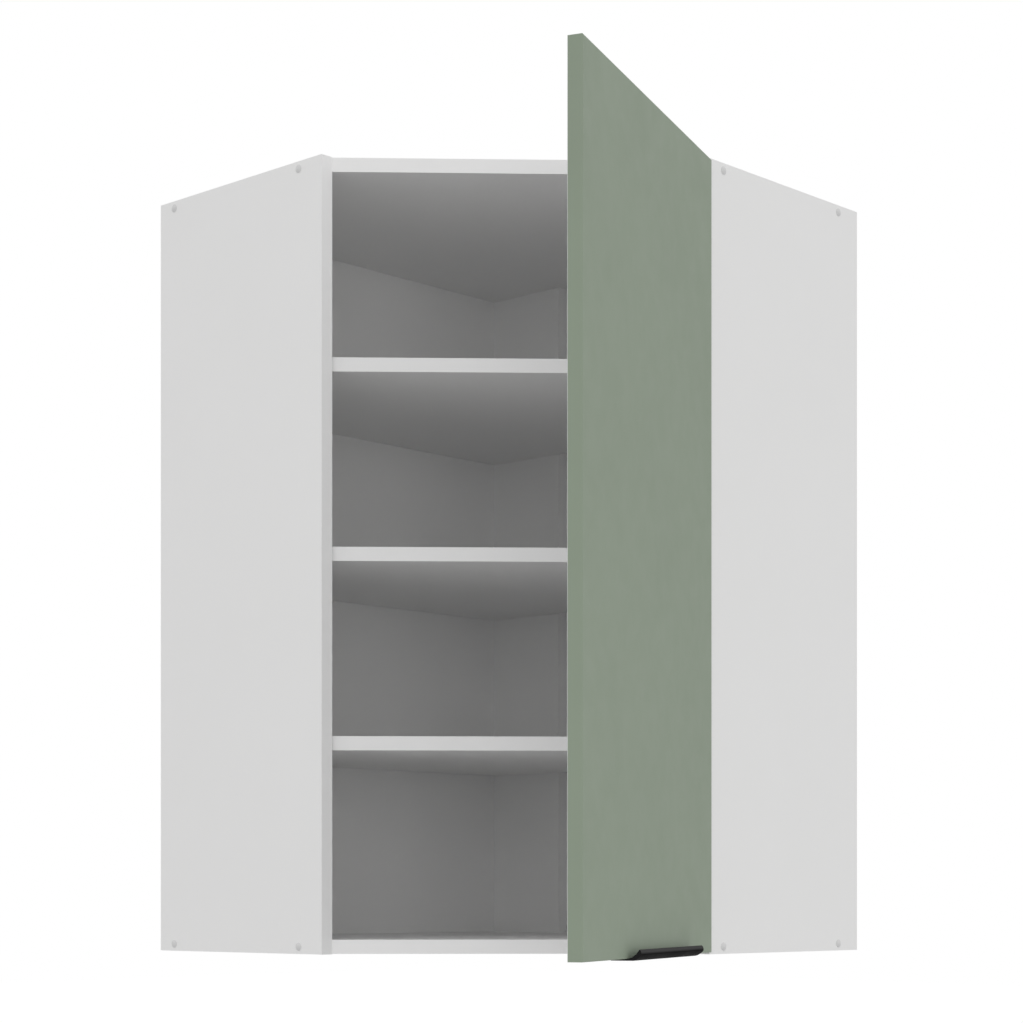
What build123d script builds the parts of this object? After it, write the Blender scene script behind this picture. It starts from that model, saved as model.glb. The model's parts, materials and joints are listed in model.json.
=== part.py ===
from build123d import *
import os
from math import sqrt

# Diagonal corner wall cabinet, hung in a room corner.
# The origin is the room corner at the level of the cabinet's underside.
# +X runs along the right-hand wall, -Y along the left-hand wall, +Z up.
# Lengths are in millimetres and angles in degrees.

# Carcass
wall_length = 598.0
cabinet_height = 900.0
side_depth = 289.0
board = 16.0
end_inset = 0.5
shelf_count = 3
top_compartment_extra = 9.8
shelf_setback = 5.5
shelf_side_play = 0.5

# Back
back_gap = 15.0
back_sheet = 3.0
groove_depth = 8.0
groove_play = 0.2
plank_width = 120.0

# Door
door_thickness = 16.0
door_bottom_gap = 2.4
door_top_gap = 4.0
front_gap = 4.0
door_edge_clearance = 1.5
door_edge_radius = 1.0
open_angle = 66.2

# Hinges
hinge_count = 2
hinge_end_distance = 110.0
leaf_height = 60.0
leaf_thickness = 1.2
leaf_screw_offset = 19.0
knuckle_count = 5
knuckle_radius = 2.7
hinge_pin_radius = 1.5
pin_head_radius = 2.3
pin_head_height = 0.8
running_gap = 0.3
pin_clearance = 0.05
knuckle_gap = 0.1
axis_off_door = 3.8
leaf_border = 0.8

# Handle profile on the door's lower edge
handle_length = 210.0
handle_start = 78.5
handle_sheet = 1.8
handle_flange_height = 20.0
handle_web_run = 1.5
handle_lip_reach = 13.0
handle_lip_rise = 9.7
handle_tip_run = 1.9
handle_tip_drop = 5.8
handle_foot = 6.3
handle_hollow = 1.3
handle_shoulder = 0.9
handle_belly = 0.8
handle_screw_spacing = 160.0
handle_screw_rise = 12.0

# Fasteners
hole_clearance = 0.05
cap_radius = 4.7
cap_height = 1.8
cap_rim = 0.4
cap_seat = 1.2
carcass_screw_radius = 3.2
carcass_screw_head_radius = 4.1
carcass_screw_length = 50.0
side_screw_near = 26.0
side_screw_far = 250.0
dowel_radius = 4.0
dowel_length = 30.0
dowel_board_depth = 12.0
shelf_pin_radius = 2.5
shelf_pin_depth = 8.0
shelf_pin_reach = 9.0
shelf_pin_rear = 60.0
shelf_pin_front = 245.0
small_screw_radius = 1.6
small_screw_head_radius = 2.7
small_screw_length = 15.0
back_screw_count = 3
bumper_radius = 4.0
bumper_play = 0.3
bumper_inset = 30.0

# Hangers in the upper back corners
hanger_height = 62.0
hanger_depth = 42.0
hanger_width = 14.0
hanger_drop = 6.0
hook_thickness = 2.0
hook_width = 9.0
hook_wall_play = 1.5
hook_lip = 16.0
hook_tail = 24.0
hook_slot_play = 1.5
hanger_wall = 2.0
hanger_screw_inset = 11.76
hanger_screw_margin = 15.5
hook_below_top = 23.56
adjuster_radius = 2.8
adjuster_bottom_margin = 15.5
adjuster_top_margin = 12.4
adjuster_slot_width = 1.0
adjuster_proud = 1.0

# Places that follow from the sizes above
right_inner = wall_length - board
left_inner = -(wall_length - board)
floor_top = end_inset + board
ceiling = cabinet_height - end_inset - board
back_face = back_gap + back_sheet
plank_face = back_face + board
clear_front = (right_inner - side_depth) * sqrt(2)
door_lap = front_gap - door_edge_clearance * sqrt(2)
door_width = clear_front + 2 * door_lap
door_height = cabinet_height - door_bottom_gap - door_top_gap
shelf_pitch = (ceiling - floor_top - top_compartment_extra) / (shelf_count + 1)
shelf_levels = [floor_top + shelf_pitch * (i + 1) for i in range(shelf_count)]
axis_off_panel = knuckle_radius + running_gap
axis_u = -door_lap - axis_off_door
axis_n = axis_off_panel * sqrt(2) - axis_u
door_outer = front_gap + door_thickness
hinge_levels = [
    door_bottom_gap + hinge_end_distance
    + i * (door_height - 2 * hinge_end_distance) / (hinge_count - 1)
    for i in range(hinge_count)
]

# The front frame stands on the right side panel's inner front corner.
# Its x runs along the closed door towards the free edge, its y runs outwards.
front = Plane(origin=(right_inner, -side_depth, 0), x_dir=(-1, -1, 0), z_dir=(0, 0, 1))
swing = front.location * Pos(axis_u, axis_n, 0) * Rot(0, 0, open_angle) * Pos(-axis_u, -axis_n, 0)
axis_point = front.from_local_coords((axis_u, axis_n, 0))


def prism(points, low, high):
    """Upright solid with the given plan outline."""
    outline = make_face(Polyline(points, close=True))
    return Pos(0, 0, low) * extrude(outline, high - low, dir=(0, 0, 1))


def block(x_low, x_high, y_low, y_high, z_low, z_high):
    """Box between two corners."""
    box = Box(x_high - x_low, y_high - y_low, z_high - z_low, align=(Align.MIN, Align.MIN, Align.MIN))
    return Pos(x_low, y_low, z_low) * box


def rod(start, direction, radius, length):
    """Round bar from a point along a direction."""
    plane = Plane(origin=start, z_dir=direction)
    return plane.location * Cylinder(radius, length, align=(Align.CENTER, Align.CENTER, Align.MIN))


def taper(start, direction, start_radius, end_radius, length):
    """Cone frustum from a point along a direction."""
    plane = Plane(origin=start, z_dir=direction)
    cone = Cone(start_radius, end_radius, length, align=(Align.CENTER, Align.CENTER, Align.MIN))
    return plane.location * cone


def moved_along(point, direction, distance):
    """Point shifted along a direction."""
    return tuple(p + d * distance for p, d in zip(point, direction))


def side_fixing_points(z):
    """Points on the side panels' outer faces where carcass screws enter, with their directions."""
    left = [((x, -wall_length, z), (0, 1, 0)) for x in (side_screw_near, side_screw_far)]
    mirrored = (side_depth - side_screw_near, side_depth - side_screw_far)
    right = [((wall_length, -y, z), (-1, 0, 0)) for y in mirrored]
    return left, right


def board_levels():
    """Heights of the middle of the bottom and top panels."""
    return floor_top - board / 2, ceiling + board / 2


def carcass_screw(point, direction, clearance=0.0):
    """Screw with a countersunk head, set just under its cap."""
    head_depth = carcass_screw_head_radius - carcass_screw_radius
    start = moved_along(point, direction, cap_seat)
    shank_start = moved_along(start, direction, head_depth)
    head_radius = carcass_screw_head_radius + clearance
    radius = carcass_screw_radius + clearance
    head = taper(start, direction, head_radius, radius, head_depth)
    shank = rod(shank_start, direction, radius, carcass_screw_length - head_depth + clearance)
    return head + shank


def carcass_screw_hole(point, direction):
    """Hole for a carcass screw, open to the panel's face."""
    mouth = rod(point, direction, carcass_screw_head_radius + hole_clearance, cap_seat)
    return carcass_screw(point, direction, hole_clearance) + mouth


def screw_cap(point, direction):
    """Domed cap with a short stub in the screw's hole."""
    outward = tuple(-d for d in direction)
    stub_end = hole_clearance - cap_seat
    crown = TangentArc((0, cap_height), (cap_radius, cap_rim), tangent=(1, 0))
    rest = Polyline([
        (cap_radius, cap_rim),
        (cap_radius, 0),
        (carcass_screw_head_radius, 0),
        (carcass_screw_head_radius, stub_end),
        (0, stub_end),
        (0, cap_height),
    ])
    cap = revolve(make_face(Curve() + [crown, rest]), Axis.Y)
    return Plane(origin=point, z_dir=outward).location * Rot(90, 0, 0) * cap


def all_side_fixings():
    """Every carcass screw position, left panel first."""
    left, right = [], []
    for z in board_levels():
        left_points, right_points = side_fixing_points(z)
        left += left_points
        right += right_points
    return left, right


def dowel(point, direction, clearance=0.0):
    """Round dowel that starts inside one board and ends inside the next."""
    start = moved_along(point, direction, -clearance)
    return rod(start, direction, dowel_radius + clearance, dowel_length + 2 * clearance)


def side_dowels():
    """Dowels between the side panels and the top and bottom panels, one in each joint."""
    middle = (side_screw_near + side_screw_far) / 2
    places = []
    for z in board_levels():
        places.append(((middle, left_inner - dowel_board_depth, z), (0, 1, 0)))
        places.append(((right_inner + dowel_board_depth, -(side_depth - middle), z), (-1, 0, 0)))
    return places


def plank_dowels():
    """Upright dowels that hold the back plank between the bottom and top panels."""
    middle = -(back_face + board / 2)
    places = []
    for x in (back_face + plank_width / 4, back_face + plank_width * 3 / 4):
        places.append(((x, middle, floor_top - dowel_board_depth), (0, 0, 1)))
        places.append(((x, middle, ceiling + dowel_board_depth), (0, 0, -1)))
    return places


def shelf_pin(point, direction, clearance=0.0):
    """Plain steel pin, half in the side panel and half under the shelf."""
    start = moved_along(point, direction, -shelf_pin_depth - clearance)
    return rod(start, direction, shelf_pin_radius + clearance, shelf_pin_depth + shelf_pin_reach + clearance)


def shelf_pin_places(shelf_level):
    """Pin positions under one shelf, on the left and right side panels."""
    z = shelf_level - shelf_pin_radius
    distances = (shelf_pin_rear, shelf_pin_front)
    left = [((x, left_inner, z), (0, 1, 0)) for x in distances]
    right = [((right_inner, -y, z), (-1, 0, 0)) for y in distances]
    return left, right


def all_shelf_pins():
    """Every shelf pin position, left panel first."""
    left, right = [], []
    for level in shelf_levels:
        left_places, right_places = shelf_pin_places(level)
        left += left_places
        right += right_places
    return left, right


def small_screw(point, direction, clearance=0.0, length=small_screw_length):
    """Small countersunk screw whose head is flush with the given point."""
    head_depth = small_screw_head_radius - small_screw_radius
    head_radius = small_screw_head_radius + clearance
    radius = small_screw_radius + clearance
    head = taper(point, direction, head_radius, radius, head_depth)
    shank_start = moved_along(point, direction, head_depth)
    shank = rod(shank_start, direction, radius, length - head_depth + clearance)
    return head + shank


def back_screw_places():
    """Screws that hold the back sheets on the plank: right-hand sheet, then left-hand sheet."""
    spacing = (ceiling - floor_top) / back_screw_count
    levels = [floor_top + spacing * (i + 0.5) for i in range(back_screw_count)]
    right = [((back_face + plank_width / 2, -back_gap, z), (0, -1, 0)) for z in levels]
    left = [((back_gap, -(back_face + board / 2), z), (1, 0, 0)) for z in levels]
    return right, left


def hinge_panel_screw_places(level):
    """Screws of one panel leaf, on the right side panel's front edge."""
    leaf_left = right_inner + leaf_border
    leaf_right = axis_point.X - knuckle_radius - running_gap
    x = (leaf_left + leaf_right) / 2
    start = -(side_depth + leaf_thickness)
    return [((x, start, level + dz), (0, 1, 0)) for dz in (-leaf_screw_offset, leaf_screw_offset)]


def hinge_door_screw_places(level):
    """Screws of one door leaf, in the closed door's front frame."""
    leaf_inner = axis_n + knuckle_radius
    leaf_outer = door_outer - leaf_border
    n = (leaf_inner + leaf_outer) / 2
    start = -door_lap - leaf_thickness
    return [((start, n, level + dz), (1, 0, 0)) for dz in (-leaf_screw_offset, leaf_screw_offset)]


def handle_screw_places():
    """Screws of the handle's flange, in the closed door's front frame."""
    middle = -door_lap + handle_start + handle_length / 2
    n = front_gap - handle_sheet
    z = door_bottom_gap + handle_screw_rise
    return [((middle + du, n, z), (0, 1, 0)) for du in (-handle_screw_spacing / 2, handle_screw_spacing / 2)]


def hanger_screw_places():
    """Screws that hold each hanger's body on its side panel: left, then right."""
    x = back_face + hanger_depth - hanger_screw_inset
    levels = [hanger_low() + hanger_screw_margin, hanger_low() + hanger_height - hanger_screw_margin]
    left = [((x, left_inner + hanger_wall, z), (0, -1, 0)) for z in levels]
    right = [((right_inner - hanger_wall, -x, z), (1, 0, 0)) for z in levels]
    return left, right


def hanger_low():
    """Height of the underside of the hangers' bodies."""
    return ceiling - hanger_drop - hanger_height


def hook_level():
    """Height of the top of the hangers' hooks."""
    return hanger_low() + hanger_height - hook_below_top


def side_panel(on_left):
    """Upright side panel with its groove, screw holes, dowel holes and shelf pin holes."""
    low, high = groove_span()
    if on_left:
        panel = block(0, side_depth, -wall_length, left_inner, 0, cabinet_height)
        groove = block(back_gap, back_face + groove_play, left_inner - groove_depth, left_inner, low, high)
    else:
        panel = block(right_inner, wall_length, -side_depth, 0, 0, cabinet_height)
        groove_end = right_inner + groove_depth
        groove = block(right_inner, groove_end, -back_face - groove_play, -back_gap, low, high)
    side = 0 if on_left else 1
    panel -= groove
    for point, direction in all_side_fixings()[side]:
        panel -= carcass_screw_hole(point, direction)
    for point, direction in side_dowels()[side::2]:
        panel -= dowel(point, direction, hole_clearance)
    for point, direction in all_shelf_pins()[side]:
        panel -= shelf_pin(point, direction, hole_clearance)
    for point, direction in hanger_screw_places()[side]:
        panel -= small_screw(point, direction, hole_clearance)
    if not on_left:
        for level in hinge_levels:
            for point, direction in hinge_panel_screw_places(level):
                panel -= small_screw(point, direction, hole_clearance)
    return panel


def groove_span():
    """Lowest and highest point of the grooves for the back sheets."""
    return floor_top - groove_depth, ceiling + groove_depth


def five_sided(rear_left, rear_right, side_play, setback=0.0):
    """Plan outline of a board between the side panels, from the given rear edges to the diagonal front."""
    corner = side_depth + side_play - setback * sqrt(2)
    return [
        (rear_left, -rear_right),
        (right_inner - side_play, -rear_right),
        (right_inner - side_play, -corner),
        (corner, left_inner + side_play),
        (rear_left, left_inner + side_play),
    ]


def end_panel(on_top):
    """Top or bottom panel with grooves for the back sheets and holes for its fixings."""
    low = ceiling if on_top else end_inset
    panel = prism(five_sided(0, 0, 0), low, low + board)
    z_low, z_high = (ceiling, ceiling + groove_depth) if on_top else (floor_top - groove_depth, floor_top)
    panel -= block(back_gap, back_face + groove_play, left_inner, -back_gap, z_low, z_high)
    panel -= block(back_gap, right_inner, -back_face - groove_play, -back_gap, z_low, z_high)
    level = 1 if on_top else 0
    z = board_levels()[level]
    for side in side_fixing_points(z):
        for point, direction in side:
            panel -= carcass_screw(point, direction, hole_clearance)
    for point, direction in side_dowels()[2 * level:2 * level + 2]:
        panel -= dowel(point, direction, hole_clearance)
    for point, direction in plank_dowels()[level::2]:
        panel -= dowel(point, direction, hole_clearance)
    return panel


def shelf(level):
    """Five-sided shelf that meets the plank at its rear edge and stands back from the front."""
    outline = five_sided(back_face + shelf_side_play, plank_face, shelf_side_play, shelf_setback)
    return prism(outline, level, level + board)


def back_plank():
    """Upright plank beside the back corner, on the right-hand back sheet."""
    plank = block(back_face, back_face + plank_width, -plank_face, -back_face, floor_top, ceiling)
    for point, direction in plank_dowels():
        plank -= dowel(point, direction, hole_clearance)
    right, left = back_screw_places()
    for point, direction in right + left:
        plank -= small_screw(point, direction, hole_clearance)
    return plank


def sheet_span():
    """Lowest and highest point of the back sheets, inside their grooves."""
    low, high = groove_span()
    return low + groove_play, high - groove_play


def hook_slot(on_left):
    """Opening in a back sheet that a hanger's hook passes through."""
    start = left_inner + running_gap if on_left else right_inner - running_gap
    reach = hanger_width
    low = hook_level() - hook_lip - hook_slot_play
    high = hook_level() + hook_slot_play
    if on_left:
        return block(0, back_face + 1, start, start + reach, low, high)
    return block(start - reach, start, -back_face - 1, 0, low, high)


def back_sheet_left():
    """Back sheet on the left-hand wall."""
    sheet = block(back_gap, back_face, left_inner - groove_depth + groove_play, -back_gap, *sheet_span())
    sheet -= hook_slot(True)
    for point, direction in back_screw_places()[1]:
        sheet -= small_screw(point, direction, hole_clearance)
    return sheet


def back_sheet_right():
    """Back sheet on the right-hand wall, from the left-hand sheet to the right side panel."""
    sheet = block(back_face, right_inner + groove_depth - groove_play, -back_face, -back_gap, *sheet_span())
    sheet -= hook_slot(False)
    for point, direction in back_screw_places()[0]:
        sheet -= small_screw(point, direction, hole_clearance)
    return sheet


def door_panel():
    """Door in its photographed open position."""
    low, high = door_bottom_gap, door_bottom_gap + door_height
    panel = block(-door_lap, -door_lap + door_width, front_gap, door_outer, low, high)
    panel = fillet(panel.faces().sort_by(Axis.Y)[-1].edges(), door_edge_radius)
    for level in hinge_levels:
        for point, direction in hinge_door_screw_places(level):
            panel -= small_screw(point, direction, hole_clearance)
    for point, direction in handle_screw_places():
        panel -= small_screw(point, direction, hole_clearance)
    return swing * panel


def bowed(start, end, depth):
    """Arc between two points, bowed to the right of its direction, or to the left by a negative depth."""
    run, rise = end[0] - start[0], end[1] - start[1]
    length = sqrt(run * run + rise * rise)
    middle = ((start[0] + end[0]) / 2 + rise / length * depth, (start[1] + end[1]) / 2 - run / length * depth)
    return ThreePointArc(start, middle, end)


def handle_outline():
    """Handle section: flange behind the door, web under it and the upturned lip."""
    inner = front_gap - handle_sheet
    web_top = door_bottom_gap
    web_low = door_bottom_gap - handle_sheet
    top = door_bottom_gap + handle_flange_height
    root = (door_outer + handle_web_run, web_top)
    tip = (door_outer + handle_lip_reach, web_top + handle_lip_rise)
    edge = (tip[0] + handle_tip_run, tip[1] - handle_tip_drop)
    foot = (door_outer + handle_foot, web_low)
    flange = Polyline([foot, (inner, web_low), (inner, top), (front_gap, top), (front_gap, web_top), root])
    hollow = bowed(root, tip, handle_hollow)
    shoulder = bowed(tip, edge, -handle_shoulder)
    belly = bowed(edge, foot, -handle_belly)
    return [flange, hollow, shoulder, belly]


def handle_profile():
    """Handle profile, extruded along the door's lower edge."""
    outline = make_face(Curve() + handle_outline())
    start = -door_lap + handle_start
    upright = Plane(origin=(start, 0, 0), x_dir=(0, 1, 0), z_dir=(1, 0, 0))
    profile = upright.location * extrude(outline, handle_length, dir=(0, 0, 1))
    for point, direction in handle_screw_places():
        profile -= small_screw(point, direction, hole_clearance)
    return swing * profile


def knuckle_spans(level, moving):
    """Height spans of the knuckles that one leaf owns."""
    pitch = leaf_height / knuckle_count
    low = level - leaf_height / 2
    owned = range(1, knuckle_count, 2) if moving else range(0, knuckle_count, 2)
    return [(low + i * pitch + knuckle_gap, low + (i + 1) * pitch - knuckle_gap) for i in owned]


def bored(solid, level, centre):
    """Solid with the bore for the hinge pin cut through it."""
    low = level - leaf_height / 2 - 1
    return solid - rod((*centre, low), (0, 0, 1), hinge_pin_radius + pin_clearance, leaf_height + 2)


def hinge_panel_leaf(level):
    """Leaf on the right side panel's front edge, with its knuckles."""
    centre = (axis_point.X, axis_point.Y)
    face = -side_depth
    low, high = level - leaf_height / 2, level + leaf_height / 2
    leaf_right = centre[0] - knuckle_radius - running_gap
    leaf = block(right_inner + leaf_border, leaf_right, face - leaf_thickness, face, low, high)
    for span_low, span_high in knuckle_spans(level, False):
        leaf += block(leaf_right, centre[0], face - leaf_thickness, face, span_low, span_high)
        leaf += rod((*centre, span_low), (0, 0, 1), knuckle_radius, span_high - span_low)
    for point, direction in hinge_panel_screw_places(level):
        leaf -= small_screw(point, direction, hole_clearance)
    return bored(leaf, level, centre)


def hinge_door_leaf(level):
    """Leaf on the door's hinge edge, with its knuckles."""
    centre = (axis_u, axis_n)
    face = -door_lap
    low, high = level - leaf_height / 2, level + leaf_height / 2
    leaf_inner = axis_n + knuckle_radius + running_gap
    leaf = block(face - leaf_thickness, face, leaf_inner, door_outer - leaf_border, low, high)
    for span_low, span_high in knuckle_spans(level, True):
        leaf += block(face - leaf_thickness, face, axis_n, leaf_inner, span_low, span_high)
        web_top = axis_n + knuckle_radius
        leaf += block(axis_u, face, web_top - leaf_thickness, web_top, span_low, span_high)
        leaf += rod((*centre, span_low), (0, 0, 1), knuckle_radius, span_high - span_low)
    for point, direction in hinge_door_screw_places(level):
        leaf -= small_screw(point, direction, hole_clearance)
    return swing * bored(leaf, level, centre)


def hinge_pin(level):
    """Hinge pin with a flat head at each end."""
    low = level - leaf_height / 2 + knuckle_gap
    high = level + leaf_height / 2 - knuckle_gap
    centre = (axis_point.X, axis_point.Y)
    pin = rod((*centre, low), (0, 0, 1), hinge_pin_radius, high - low)
    pin += rod((*centre, low), (0, 0, -1), pin_head_radius, pin_head_height)
    pin += rod((*centre, high), (0, 0, 1), pin_head_radius, pin_head_height)
    return pin


def door_bumpers():
    """Two pads on the door's inner face that meet the top and bottom panels' front edges."""
    u = door_width - door_lap - bumper_inset
    height = front_gap - bumper_play
    pads = [rod((u, front_gap, z), (0, -1, 0), bumper_radius, height) for z in board_levels()]
    return [swing * pad for pad in pads]


def to_right(solid):
    """Mirror a left-hand fitting to the right-hand wall."""
    return mirror(solid, about=Plane(origin=(0, 0, 0), z_dir=(1, 1, 0)))


def hanger_body(on_left):
    """Hanger's open-backed housing in the upper back corner, on the side panel."""
    low = hanger_low()
    high = low + hanger_height
    y_low, y_high = left_inner, left_inner + hanger_width
    body = block(back_face + running_gap, back_face + hanger_depth, y_low, y_high, low, high)
    inside_low, inside_high = low + hanger_wall, high - hanger_wall
    inside_front = back_face + hanger_depth - hanger_wall
    body -= block(back_face, inside_front, y_low + hanger_wall, y_high - hanger_wall, inside_low, inside_high)
    middle = (y_low + y_high) / 2
    for x, z in adjuster_places():
        body -= rod((x, middle, z), (1, 0, 0), adjuster_radius + hole_clearance, hanger_wall * 3)
    for point, direction in hanger_screw_places()[0]:
        body -= small_screw(point, direction, hole_clearance)
    return body if on_left else to_right(body)


def adjuster_places():
    """Starting points of the two adjusting screws, on the hanger's front wall."""
    x = back_face + hanger_depth - hanger_wall * 2
    low = hanger_low()
    return [(x, low + adjuster_bottom_margin), (x, low + hanger_height - adjuster_top_margin)]


def hanger_adjusters(on_left):
    """Adjusting screws in a hanger's front wall, reached from inside the cabinet."""
    middle = left_inner + hanger_width / 2
    y_low, y_high = middle - adjuster_slot_width / 2, middle + adjuster_slot_width / 2
    across = adjuster_radius + hanger_wall
    screws = []
    for x, z in adjuster_places():
        screw = rod((x, middle, z), (1, 0, 0), adjuster_radius, hanger_wall * 2 + adjuster_proud)
        slot = block(x + hanger_wall * 2, x + hanger_wall * 3, y_low, y_high, z - across, z + across)
        screws.append(screw - slot)
    return screws if on_left else [to_right(screw) for screw in screws]


def hanger_hook(on_left):
    """Steel hook that leaves the housing through the back sheet and turns down near the wall."""
    middle = left_inner + hanger_width / 2
    y_low, y_high = middle - hook_width / 2, middle + hook_width / 2
    top = hook_level()
    inside = back_face + hanger_depth - hanger_wall * 2 - running_gap
    hook = block(hook_wall_play, inside, y_low, y_high, top - hook_thickness, top)
    hook += block(hook_wall_play, hook_wall_play + hook_thickness, y_low, y_high, top - hook_lip, top)
    hook += block(inside - hook_thickness, inside, y_low, y_high, top - hook_tail, top)
    return hook if on_left else to_right(hook)


def write(name, solids):
    """Write one node, a solid or a group of separate solids."""
    group = solids if isinstance(solids, list) else [solids]
    shape = group[0] if len(group) == 1 else Compound(children=group)
    export_step(shape, f"parts/{name}.step")


def main():
    os.makedirs("parts", exist_ok=True)
    write("side_panel_left", side_panel(True))
    write("side_panel_right", side_panel(False))
    write("top_panel", end_panel(True))
    write("bottom_panel", end_panel(False))
    for number, level in enumerate(shelf_levels, 1):
        write(f"shelf_{number}", shelf(level))
    write("back_plank", back_plank())
    write("back_sheet_left", back_sheet_left())
    write("back_sheet_right", back_sheet_right())
    left, right = all_side_fixings()
    write("carcass_screws_left", [carcass_screw(*place) for place in left])
    write("carcass_screws_right", [carcass_screw(*place) for place in right])
    write("screw_caps_left", [screw_cap(*place) for place in left])
    write("screw_caps_right", [screw_cap(*place) for place in right])
    write("side_dowels", [dowel(*place) for place in side_dowels()])
    write("plank_dowels", [dowel(*place) for place in plank_dowels()])
    write("shelf_pins_left", [shelf_pin(*place) for place in all_shelf_pins()[0]])
    write("shelf_pins_right", [shelf_pin(*place) for place in all_shelf_pins()[1]])
    right_screws, left_screws = back_screw_places()
    write("back_sheet_screws", [small_screw(*place) for place in right_screws + left_screws])
    write("door", door_panel())
    write("handle_profile", handle_profile())
    write("handle_screws", [swing * small_screw(*place) for place in handle_screw_places()])
    write("door_bumpers", door_bumpers())
    panel_screws, door_screws = [], []
    for name, level in zip(("lower", "upper"), hinge_levels):
        write(f"hinge_{name}_panel_leaf", hinge_panel_leaf(level))
        write(f"hinge_{name}_door_leaf", hinge_door_leaf(level))
        write(f"hinge_{name}_pin", hinge_pin(level))
        panel_screws += [small_screw(*place) for place in hinge_panel_screw_places(level)]
        door_screws += [swing * small_screw(*place) for place in hinge_door_screw_places(level)]
    write("hinge_panel_screws", panel_screws)
    write("hinge_door_screws", door_screws)
    for name, on_left in (("left", True), ("right", False)):
        write(f"hanger_body_{name}", hanger_body(on_left))
        write(f"hanger_hook_{name}", hanger_hook(on_left))
        write(f"hanger_adjusters_{name}", hanger_adjusters(on_left))
        side = 0 if on_left else 1
        write(f"hanger_screws_{name}", [small_screw(*place) for place in hanger_screw_places()[side]])


main()
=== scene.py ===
import json
from math import cos, radians, sin

import bpy
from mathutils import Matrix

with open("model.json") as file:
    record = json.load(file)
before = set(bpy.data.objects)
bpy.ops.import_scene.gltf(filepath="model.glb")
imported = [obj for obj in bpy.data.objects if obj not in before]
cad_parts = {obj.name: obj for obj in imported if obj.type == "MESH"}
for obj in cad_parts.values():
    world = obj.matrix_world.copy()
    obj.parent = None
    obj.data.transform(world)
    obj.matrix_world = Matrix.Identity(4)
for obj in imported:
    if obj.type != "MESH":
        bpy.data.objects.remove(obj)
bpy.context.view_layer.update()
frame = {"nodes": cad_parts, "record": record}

# Cells per metre of the clouding and of the uneven sheen.
cloud_scale = 7.0
sheen_scale = 38.0


def new_material(name):
    """Material with only an output, a principled shader and object coordinates."""
    material = bpy.data.materials.new(name)
    material.use_nodes = True
    tree = material.node_tree
    tree.nodes.clear()
    output = tree.nodes.new("ShaderNodeOutputMaterial")
    shader = tree.nodes.new("ShaderNodeBsdfPrincipled")
    tree.links.new(shader.outputs["BSDF"], output.inputs["Surface"])
    coords = tree.nodes.new("ShaderNodeTexCoord")
    return material, tree, shader, coords.outputs["Object"]


def stretched(tree, coords, stretch):
    """Coordinates scaled by a different amount along each axis."""
    mapping = tree.nodes.new("ShaderNodeMapping")
    mapping.inputs["Scale"].default_value = stretch
    tree.links.new(coords, mapping.inputs["Vector"])
    return mapping.outputs["Vector"]


def noise(tree, coords, scale, detail=4.0, roughness=0.55):
    """Noise texture value at the given number of cells per metre."""
    texture = tree.nodes.new("ShaderNodeTexNoise")
    texture.inputs["Scale"].default_value = scale
    texture.inputs["Detail"].default_value = detail
    texture.inputs["Roughness"].default_value = roughness
    tree.links.new(coords, texture.inputs["Vector"])
    return texture.outputs["Fac"]


def span(tree, value, low, high, start=0.3, end=0.7):
    """Value spread over a new range."""
    node = tree.nodes.new("ShaderNodeMapRange")
    node.inputs["From Min"].default_value = start
    node.inputs["From Max"].default_value = end
    node.inputs["To Min"].default_value = low
    node.inputs["To Max"].default_value = high
    tree.links.new(value, node.inputs["Value"])
    return node.outputs["Result"]


def mix_colors(tree, factor, first, second):
    """Blend of two colours or colour outputs."""
    node = tree.nodes.new("ShaderNodeMix")
    node.data_type = "RGBA"
    tree.links.new(factor, node.inputs["Factor"])
    for socket, color in ((node.inputs[6], first), (node.inputs[7], second)):
        if isinstance(color, tuple):
            socket.default_value = (*color, 1.0)
        else:
            tree.links.new(color, socket)
    return node.outputs[2]


def bump(tree, shader, height, strength, distance):
    """Surface relief from a height value."""
    node = tree.nodes.new("ShaderNodeBump")
    node.inputs["Strength"].default_value = strength
    node.inputs["Distance"].default_value = distance
    tree.links.new(height, node.inputs["Height"])
    tree.links.new(node.outputs["Normal"], shader.inputs["Normal"])


def split_color(tree, coords, factor, direction, level, beyond, before):
    """Two pairs of colours, divided by a plane square to a direction."""
    depth = tree.nodes.new("ShaderNodeVectorMath")
    depth.operation = "DOT_PRODUCT"
    depth.inputs[1].default_value = direction
    tree.links.new(coords, depth.inputs[0])
    past = tree.nodes.new("ShaderNodeMath")
    past.operation = "GREATER_THAN"
    past.inputs[1].default_value = level
    tree.links.new(depth.outputs["Value"], past.inputs[0])
    first = mix_colors(tree, factor, *before)
    second = mix_colors(tree, factor, *beyond)
    return mix_colors(tree, past.outputs["Value"], first, second)


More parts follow.
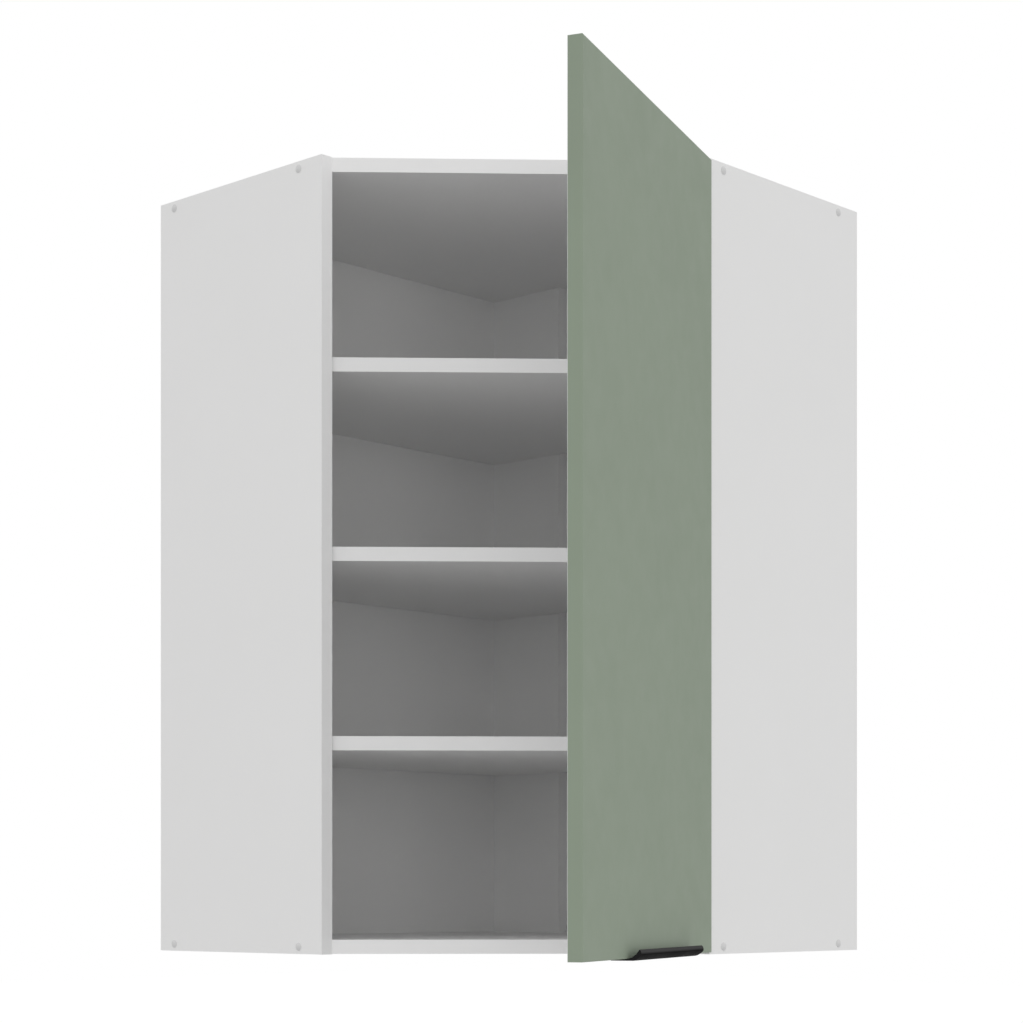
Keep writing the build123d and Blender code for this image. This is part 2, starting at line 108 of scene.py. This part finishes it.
def coated(name, low, high, gloss=(0.38, 0.5), grain=900.0, relief=0.12, specular=0.5,
           plane=None, beyond=None):
    """Foil, melamine or lacquer: faint clouding, a fine pearl and an uneven sheen.
    Beyond a plane, given by its direction and level, the surface takes another pair of colours."""
    material, tree, shader, coords = new_material(name)
    cloud = span(tree, noise(tree, coords, cloud_scale, 3.0), 0.0, 1.0)
    pearl = noise(tree, coords, grain, 2.0)
    if plane:
        color = split_color(tree, coords, cloud, *plane, beyond, (low, high))
    else:
        color = mix_colors(tree, cloud, low, high)
    speckled = tree.nodes.new("ShaderNodeMix")
    speckled.data_type = "RGBA"
    speckled.blend_type = "MULTIPLY"
    speckled.inputs[7].default_value = (0.985, 0.985, 0.985, 1.0)
    tree.links.new(span(tree, pearl, 0.0, 1.0), speckled.inputs["Factor"])
    tree.links.new(color, speckled.inputs[6])
    tree.links.new(speckled.outputs[2], shader.inputs["Base Color"])
    sheen = noise(tree, coords, sheen_scale, 4.0)
    tree.links.new(span(tree, sheen, *gloss), shader.inputs["Roughness"])
    shader.inputs["Specular IOR Level"].default_value = specular
    bump(tree, shader, pearl, relief, 0.0001)
    return material


def metal(name, color, rough, stretch=(40.0, 40.0, 900.0)):
    """Drawn or plated metal with fine lines."""
    material, tree, shader, coords = new_material(name)
    lines = noise(tree, stretched(tree, coords, stretch), 4.0, 5.0)
    dark = tuple(c * 0.86 for c in color)
    tree.links.new(mix_colors(tree, span(tree, lines, 0.0, 1.0), dark, color), shader.inputs["Base Color"])
    tree.links.new(span(tree, lines, rough - 0.06, rough + 0.08), shader.inputs["Roughness"])
    shader.inputs["Metallic"].default_value = 1.0
    bump(tree, shader, lines, 0.08, 0.00005)
    return material


def powder_coat(name, color, painted_top_light):
    """Fine-grained matt coat, with light painted on: paler where the surface faces up."""
    material, tree, shader, coords = new_material(name)
    grains = noise(tree, coords, 2600.0, 2.0)
    facing = tree.nodes.new("ShaderNodeSeparateXYZ")
    place = tree.nodes.new("ShaderNodeTexCoord")
    tree.links.new(place.outputs["Normal"], facing.inputs["Vector"])
    # Painted light: faces turned up take a paler colour, as if lit from above.
    painted_light_mask = span(tree, facing.outputs["Z"], 0.0, 1.0, -0.1, 0.3)
    low = tuple(c * 0.8 for c in color)
    grained = mix_colors(tree, span(tree, grains, 0.0, 1.0), low, color)
    tree.links.new(mix_colors(tree, painted_light_mask, grained, painted_top_light), shader.inputs["Base Color"])
    tree.links.new(span(tree, noise(tree, coords, sheen_scale), 0.4, 0.5), shader.inputs["Roughness"])
    shader.inputs["Specular IOR Level"].default_value = 0.002
    bump(tree, shader, grains, 0.3, 0.0001)
    return material


def timber(name, light, dark):
    """Turned beech with short pores along Z."""
    material, tree, shader, coords = new_material(name)
    grain = noise(tree, stretched(tree, coords, (1.0, 1.0, 0.12)), 420.0, 5.0)
    tree.links.new(mix_colors(tree, span(tree, grain, 0.0, 1.0), light, dark), shader.inputs["Base Color"])
    tree.links.new(span(tree, grain, 0.55, 0.75), shader.inputs["Roughness"])
    bump(tree, shader, grain, 0.2, 0.0002)
    return material


def reach_along(node, direction):
    """How far a piece reaches along a direction, lowest and highest."""
    points = [vertex.co for vertex in frame["nodes"][node].data.vertices]
    reaches = [sum(a * b for a, b in zip(point, direction)) for point in points]
    return min(reaches), max(reaches)


# The door's back face differs in colour from the rest of the piece, and the shelves' front edges carry
# painted shade, a darker white; each is told apart by a plane a skin's depth inside it.
skin = 0.0003
open_angle = 66.2
closed_turn = -45.0
door_turn = radians(open_angle + closed_turn)
door_outward = (cos(door_turn), sin(door_turn), 0.0)
door_plane = (door_outward, reach_along("door", door_outward)[0] + skin)
front_turn = radians(closed_turn)
front_outward = (cos(front_turn), sin(front_turn), 0.0)
shelf_plane = (front_outward, reach_along("shelf_1", front_outward)[1] - skin)
board_white = ((0.932, 0.93, 0.926), (0.942, 0.94, 0.937))
# Painted shade: a darker white for the shelves' front edges.
shelf_edge_painted_shade = ((0.876, 0.875, 0.871), (0.886, 0.885, 0.882))
back_white = ((0.91, 0.91, 0.908), (0.92, 0.92, 0.918))
cap_white = ((0.73, 0.73, 0.73), (0.76, 0.76, 0.76))
sage = ((0.295, 0.351, 0.272), (0.307, 0.365, 0.283))

finishes = {
    "white_board": coated("white_board", *board_white),
    "white_sheet": coated("white_sheet", *board_white, (0.42, 0.55), 600.0),
    "green_door": coated("green_door", *back_white, (0.52, 0.64), 1400.0, 0.2, 0.2, door_plane, sage),
    # The handle's second colour is painted light, used on its up-facing faces.
    "black_handle": powder_coat("black_handle", (0.0115, 0.011, 0.0115), (0.066, 0.065, 0.066)),
    "black_screw": metal("black_screw", (0.03, 0.03, 0.03), 0.4),
    "white_plastic": coated("white_plastic", *cap_white, (0.3, 0.4), 1500.0, 0.06),
    "zinc_steel": metal("zinc_steel", (0.62, 0.63, 0.64), 0.34),
    "hinge_steel": metal("hinge_steel", (0.50, 0.49, 0.475), 0.28),
    "beech": timber("beech", (0.62, 0.45, 0.28), (0.50, 0.34, 0.19)),
    "clear_rubber": coated("clear_rubber", (0.62, 0.62, 0.60), (0.68, 0.68, 0.66), (0.45, 0.6), 800.0, 0.1),
}
# The shelves take the painted shade on their front edges, beyond their plane.
shelf_finish = coated("white_shelf", *board_white, plane=shelf_plane, beyond=shelf_edge_painted_shade)
shelves = [node for node in frame["nodes"] if node.startswith("shelf_") and "pin" not in node]
for part in frame["record"]["subparts"]:
    mesh = frame["nodes"][part["node"]].data
    finish = shelf_finish if part["node"] in shelves else finishes[part["material_slot"]]
    mesh.materials.clear()
    mesh.materials.append(finish)


def direct_view(tree):
    """One for camera, glossy and transmission rays, else zero."""
    path = tree.nodes.new("ShaderNodeLightPath")
    value = path.outputs["Is Camera Ray"]
    for kind in ("Is Glossy Ray", "Is Transmission Ray"):
        either = tree.nodes.new("ShaderNodeMath")
        either.operation = "MAXIMUM"
        tree.links.new(value, either.inputs[0])
        tree.links.new(path.outputs[kind], either.inputs[1])
        value = either.outputs["Value"]
    return value


def stage_material(name, tone, seen_tone, seen_glow):
    """Matt surface that camera, glossy and transmission rays see paler and with a glow, so that it
    looks white where no shadow falls."""
    material, tree, shader, _ = new_material(name)
    shader.inputs["Base Color"].default_value = (tone, tone, tone, 1.0)
    shader.inputs["Roughness"].default_value = 0.9
    pale = tree.nodes.new("ShaderNodeBsdfDiffuse")
    pale.inputs["Color"].default_value = (seen_tone, seen_tone, seen_tone, 1.0)
    glow = tree.nodes.new("ShaderNodeEmission")
    glow.inputs["Color"].default_value = (1.0, 1.0, 1.0, 1.0)
    glow.inputs["Strength"].default_value = seen_glow
    white = tree.nodes.new("ShaderNodeAddShader")
    tree.links.new(pale.outputs["BSDF"], white.inputs[0])
    tree.links.new(glow.outputs["Emission"], white.inputs[1])
    swap = tree.nodes.new("ShaderNodeMixShader")
    tree.links.new(direct_view(tree), swap.inputs["Fac"])
    tree.links.new(shader.outputs["BSDF"], swap.inputs[1])
    tree.links.new(white.outputs["Shader"], swap.inputs[2])
    output = next(n for n in tree.nodes if n.type == "OUTPUT_MATERIAL")
    tree.links.new(swap.outputs["Shader"], output.inputs["Surface"])
    return material


# The floor lies as far below the cabinet as it does under one hung on a kitchen wall.
reach = 30.0
ground = -1.4
floor_tone = 0.44
seen_tone = 0.95
seen_glow = 0.2
floor_mesh = bpy.data.meshes.new("floor")
corners = [(x, y, ground) for x, y in ((-reach, -reach), (reach, -reach), (reach, reach), (-reach, reach))]
floor_mesh.from_pydata(corners, [], [(0, 1, 2, 3)])
floor = bpy.data.objects.new("floor", floor_mesh)
bpy.context.scene.collection.objects.link(floor)
floor_mesh.materials.append(stage_material("floor", floor_tone, seen_tone, seen_glow))

# The world lights the cabinet evenly, and looks plain white.
sky_strength = 0.86
world = bpy.data.worlds.new("studio")
bpy.context.scene.world = world
world.use_nodes = True
tree = world.node_tree
tree.nodes.clear()
sky = tree.nodes.new("ShaderNodeBackground")
seen = tree.nodes.new("ShaderNodeBackground")
swap = tree.nodes.new("ShaderNodeMixShader")
output = tree.nodes.new("ShaderNodeOutputWorld")
sky.inputs["Color"].default_value = (1.0, 1.0, 1.0, 1.0)
sky.inputs["Strength"].default_value = sky_strength
seen.inputs["Color"].default_value = (1.0, 1.0, 1.0, 1.0)
seen.inputs["Strength"].default_value = 1.0
tree.links.new(direct_view(tree), swap.inputs["Fac"])
tree.links.new(sky.outputs["Background"], swap.inputs[1])
tree.links.new(seen.outputs["Background"], swap.inputs[2])
tree.links.new(swap.outputs["Shader"], output.inputs["Surface"])


def soft_lamp(name, place, target, size, power):
    """Large square area lamp aimed at a point."""
    data = bpy.data.lights.new(name, "AREA")
    data.shape = "SQUARE"
    data.size = size
    data.energy = power
    lamp = bpy.data.objects.new(name, data)
    lamp.location = place
    aim = bpy.data.objects.new(name + "_aim", None)
    aim.location = target
    bpy.context.scene.collection.objects.link(lamp)
    bpy.context.scene.collection.objects.link(aim)
    look = lamp.constraints.new("TRACK_TO")
    look.target = aim
    look.track_axis = "TRACK_NEGATIVE_Z"
    look.up_axis = "UP_Y"


# One lamp stands square to the diagonal front, the other low on the right.
cabinet_middle = (0.3, -0.3, 0.45)
soft_lamp("front_lamp", (2.7, -2.7, 0.45), cabinet_middle, 1.2, 7.5)
soft_lamp("side_lamp", (4.8, -2.0, -0.3), cabinet_middle, 2.8, 10.0)

# The camera looks level, so uprights stay parallel, and the shift brings the cabinet into the frame.
picture_width = 1023.0
focal_length = 2335.71
sensor_width = 36.0
camera_turn = radians(43.17)
camera_data = bpy.data.cameras.new("camera")
camera_data.sensor_fit = "HORIZONTAL"
camera_data.sensor_width = sensor_width
camera_data.lens = focal_length / picture_width * sensor_width
camera_data.shift_x = -0.0036
camera_data.shift_y = 0.37336
camera_data.clip_end = 100.0
camera = bpy.data.objects.new("camera", camera_data)
camera.location = (2.24362, -2.36375, 0.0688)
camera.rotation_euler = (radians(90.0), 0.0, camera_turn)
bpy.context.scene.collection.objects.link(camera)
bpy.context.scene.camera = camera
bpy.context.scene.view_settings.view_transform = "Standard"
